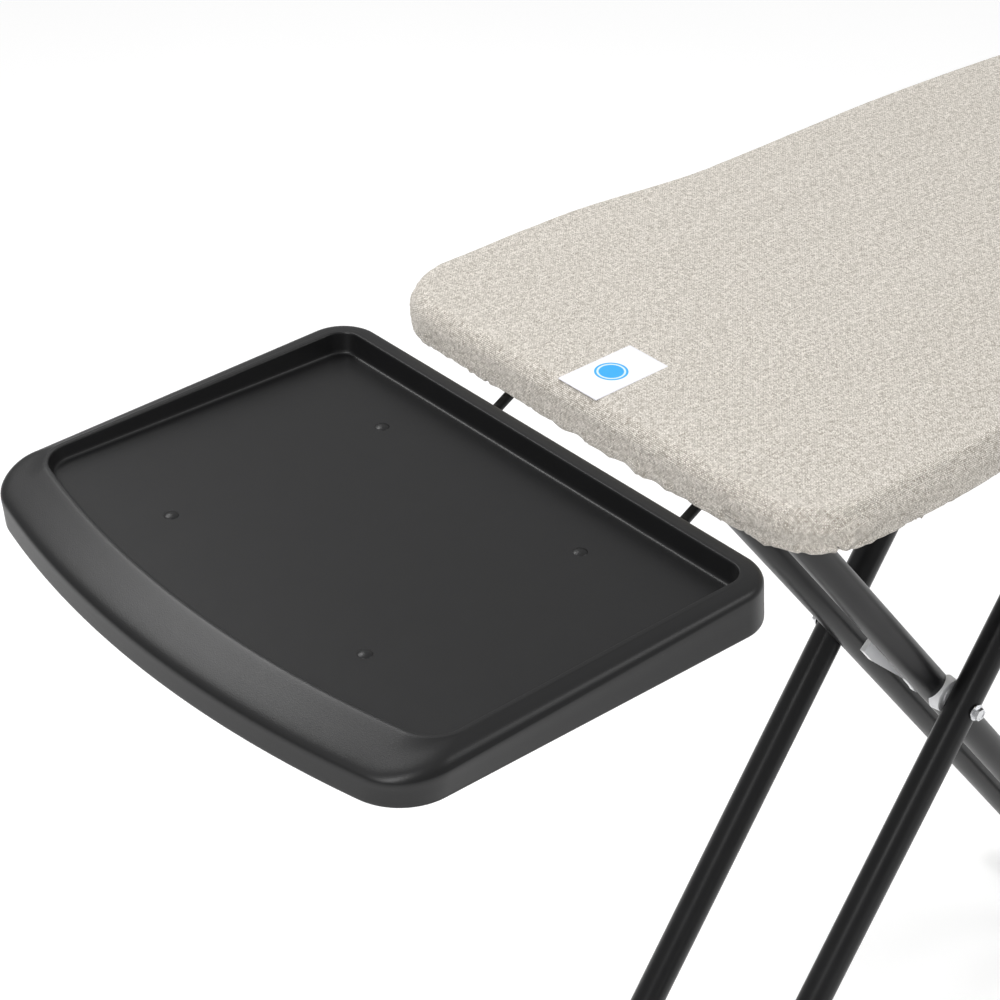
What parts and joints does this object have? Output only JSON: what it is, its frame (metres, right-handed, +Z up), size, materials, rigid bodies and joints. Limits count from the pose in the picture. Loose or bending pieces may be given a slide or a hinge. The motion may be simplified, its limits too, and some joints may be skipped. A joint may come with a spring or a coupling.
{
  "type": "ironing board",
  "caption": "Ironing board with a linen-look padded cover and a black steam unit tray at its square end, on crossed tube legs that fold flat.",
  "frame": {"origin": "on the floor, under the middle of the whole object with its tray", "axes": "+X along the board towards its nose, +Y to its left side, +Z up"},
  "size_m": [1.631, 0.464, 0.985],
  "materials": {
    "cover": "linen-look melange weave, matt, with a gathered hem",
    "foam": "soft open foam under the cover",
    "mesh": "black coated expanded steel",
    "board_steel": "black powder coat, satin",
    "leg_steel": "black powder coat, satin, fine grain",
    "bare_steel": "zinc plated steel",
    "cord": "braided elastic cord",
    "label": "white printed cloth with a plain blue disc",
    "black_plastic": "black moulded plastic with a fine grain",
    "tray_plastic": "black moulded plastic, satin, fine grain",
    "grey_plastic": "light grey moulded plastic",
    "grip_plastic": "dark grey soft-touch plastic",
    "rubber": "black rubber with moulded ribs"
  },
  "bodies": {
    "board": {"cover": "cover", "foam_pad": "foam", "mesh_plate": "mesh", "rim_left": "board_steel", "rim_right": "board_steel", "rim_tail": "board_steel", "cross_strut_1": "board_steel", "cross_strut_2": "board_steel", "cross_strut_3": "board_steel", "cross_strut_4": "board_steel", "cross_strut_5": "board_steel", "slide_rail_left": "board_steel", "slide_rail_right": "board_steel", "height_rack": "bare_steel", "hinge_bracket_left": "board_steel", "hinge_bracket_right": "board_steel", "hem_cord": "cord", "cord_toggle": "black_plastic", "label": "label", "tray": "tray_plastic", "tray_wire_left": "leg_steel", "tray_wire_right": "leg_steel", "tray_wire_front": "leg_steel", "tray_clips": "black_plastic", "tray_screws": "bare_steel", "wire_clamp_left": "black_plastic", "wire_clamp_right": "black_plastic", "clamp_screws": "bare_steel"},
    "inner_legs": {"inner_leg_left": "leg_steel", "inner_leg_right": "leg_steel", "leg_plugs": "black_plastic", "hinge_bar": "leg_steel", "inner_brace": "leg_steel", "inner_foot_tube": "leg_steel", "inner_foot_cap_left": "rubber", "inner_foot_cap_right": "rubber", "pivot_spacer_left": "grey_plastic", "pivot_spacer_right": "grey_plastic", "pivot_bolt_left": "bare_steel", "pivot_bolt_right": "bare_steel", "pivot_nut_left": "bare_steel", "pivot_nut_right": "bare_steel"},
    "outer_legs": {"outer_leg_left": "leg_steel", "outer_leg_right": "leg_steel", "slide_bar": "bare_steel", "outer_brace": "leg_steel", "outer_foot_tube": "leg_steel", "outer_foot_cap_left": "rubber", "outer_foot_cap_right": "rubber"},
    "slider": {"slide_shoe_left": "grey_plastic", "slide_shoe_right": "grey_plastic", "lever_spring": "bare_steel"},
    "release_lever": {"release_lever": "bare_steel", "lever_grip": "grip_plastic"},
    "lock_lever": {"lock_lever": "grey_plastic"}
  },
  "joints": [
    {"name": "fold", "type": "hinge", "parent": "board", "child": "inner_legs", "pos_m": [-0.33154, 0, 0.92], "axis": [0, -1, 0], "range_deg": [0, 52.2]},
    {"name": "leg_cross", "type": "hinge", "parent": "inner_legs", "child": "outer_legs", "pos_m": [-0.0585, 0, 0.568], "axis": [0, 1, 0], "range_deg": [0, 104.8]},
    {"name": "shoe_level", "type": "hinge", "parent": "outer_legs", "child": "slider", "pos_m": [0.19975, 0, 0.948], "axis": [0, -1, 0], "range_deg": [0, 52.6]},
    {"name": "release_squeeze", "type": "hinge", "parent": "slider", "child": "release_lever", "pos_m": [0.19975, 0, 0.948], "axis": [0, 1, 0], "range_deg": [0, 18], "stiffness_Nm_per_rad": 0.8, "springref_deg": -22.92},
    {"name": "lock_turn", "type": "hinge", "parent": "inner_legs", "child": "lock_lever", "pos_m": [-0.0585, 0, 0.568], "axis": [0, -1, 0], "range_deg": [0, 35]}
  ],
  "couplings": [
    {"joint": "leg_cross", "follows": "fold", "ratio": 2.005},
    {"joint": "shoe_level", "follows": "fold", "ratio": 1.005}
  ]
}
